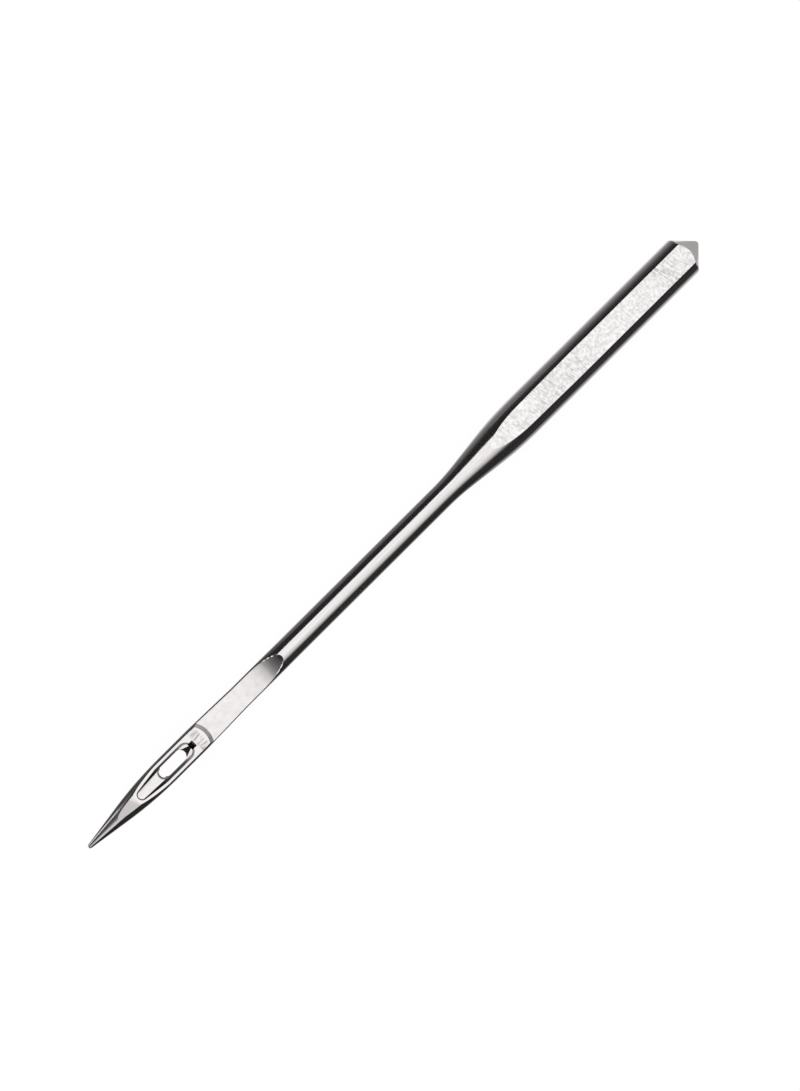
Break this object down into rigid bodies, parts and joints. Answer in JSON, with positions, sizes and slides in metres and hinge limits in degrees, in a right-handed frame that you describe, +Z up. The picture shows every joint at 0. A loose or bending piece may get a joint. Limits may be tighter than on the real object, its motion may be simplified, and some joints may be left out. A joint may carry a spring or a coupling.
{
  "type": "sewing machine needle",
  "caption": "Flat-shank sewing machine needle with a conical butt, tapered shoulder, slim grooved blade, scarf, long eye and sharp point, lying on its round side.",
  "frame": {"origin": "under the middle of the needle's length, on the surface that the round side of the shank rests on", "axes": "+X along the needle from the point to the butt, +Z up out of the shank's flat and the scarf, +Y across"},
  "size_m": [0.0396, 0.002, 0.0019],
  "materials": {
    "polished_steel": "polished"
  },
  "bodies": {
    "root": {"needle": "polished_steel"}
  },
  "joints": []
}
